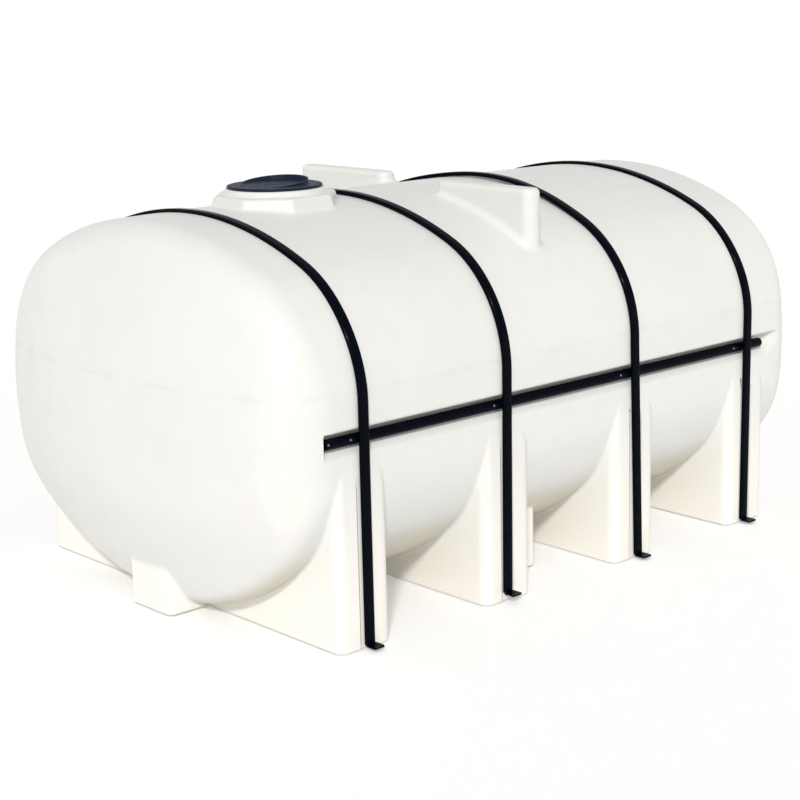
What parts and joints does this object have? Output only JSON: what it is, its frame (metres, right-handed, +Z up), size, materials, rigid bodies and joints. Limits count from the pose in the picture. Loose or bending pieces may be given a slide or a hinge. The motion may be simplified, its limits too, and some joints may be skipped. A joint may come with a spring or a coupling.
{
  "type": "polyethylene leg tank",
  "caption": "Horizontal moulded polyethylene liquid tank on moulded saddle legs, with a top manway, side tubes and steel hold-down hoops with bolt-down feet.",
  "frame": {"origin": "on the floor, under the middle of the tank", "axes": "+X along the tank from the manway end to the far end, +Y across the tank, +Z up"},
  "size_m": [3.745, 2.424, 1.939],
  "materials": {
    "body": "satin natural white, as moulded",
    "steel": "gloss black paint",
    "lid": "satin black"
  },
  "bodies": {
    "root": {"barrel_shell": "body", "near_end": "body", "far_end": "body", "saddle_1": "body", "saddle_2": "body", "saddle_3": "body", "saddle_4": "body", "crown_lug_left": "body", "crown_lug_right": "body", "end_outlet_boss": "body", "side_outlet_boss_left": "body", "side_outlet_boss_right": "body", "manway_pedestal": "body", "manway_collar": "body", "manway_lid": "lid", "side_tube_left": "steel", "side_tube_right": "steel", "tube_cap_left_near": "steel", "tube_cap_left_far": "steel", "tube_cap_right_near": "steel", "tube_cap_right_far": "steel", "hoop_1": "steel", "hoop_2": "steel", "hoop_3": "steel", "hoop_4": "steel", "foot_left_1": "steel", "foot_left_2": "steel", "foot_left_3": "steel", "foot_left_4": "steel", "foot_right_1": "steel", "foot_right_2": "steel", "foot_right_3": "steel", "foot_right_4": "steel"}
  },
  "joints": []
}
